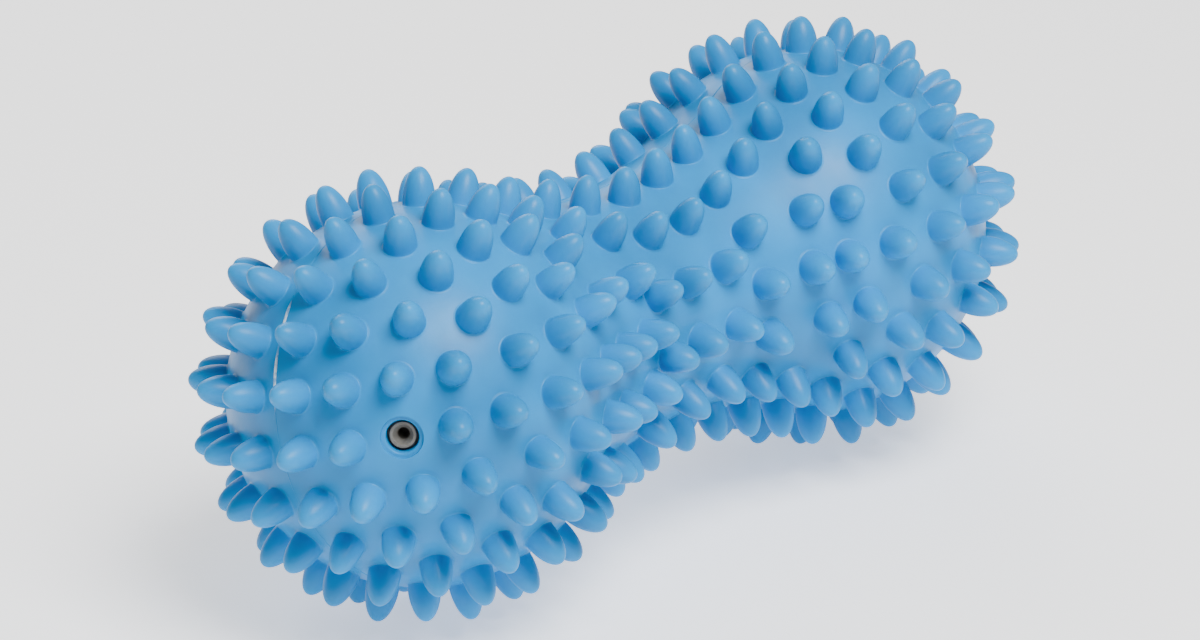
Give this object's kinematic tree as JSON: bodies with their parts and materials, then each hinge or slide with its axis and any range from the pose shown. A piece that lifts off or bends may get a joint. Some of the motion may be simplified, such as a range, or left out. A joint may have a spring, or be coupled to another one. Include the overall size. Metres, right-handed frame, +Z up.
{
  "type": "spiky peanut ball",
  "caption": "Hollow soft peanut-shaped ball with blunt spikes all over two round lobes, a waist, and a recessed needle valve.",
  "frame": {"origin": "middle of the long axis, at the centre of the waist between the two lobes", "axes": "+X along the long axis towards the lobe without the valve, +Z up as the ball lies on a table"},
  "size_m": [0.176, 0.078, 0.0784],
  "materials": {
    "shell": "glossy soft vinyl, sky blue, self-coloured",
    "valve_plug": "satin grey rubber"
  },
  "bodies": {
    "root": {"shell": "shell", "valve_plug": "valve_plug"}
  },
  "joints": []
}
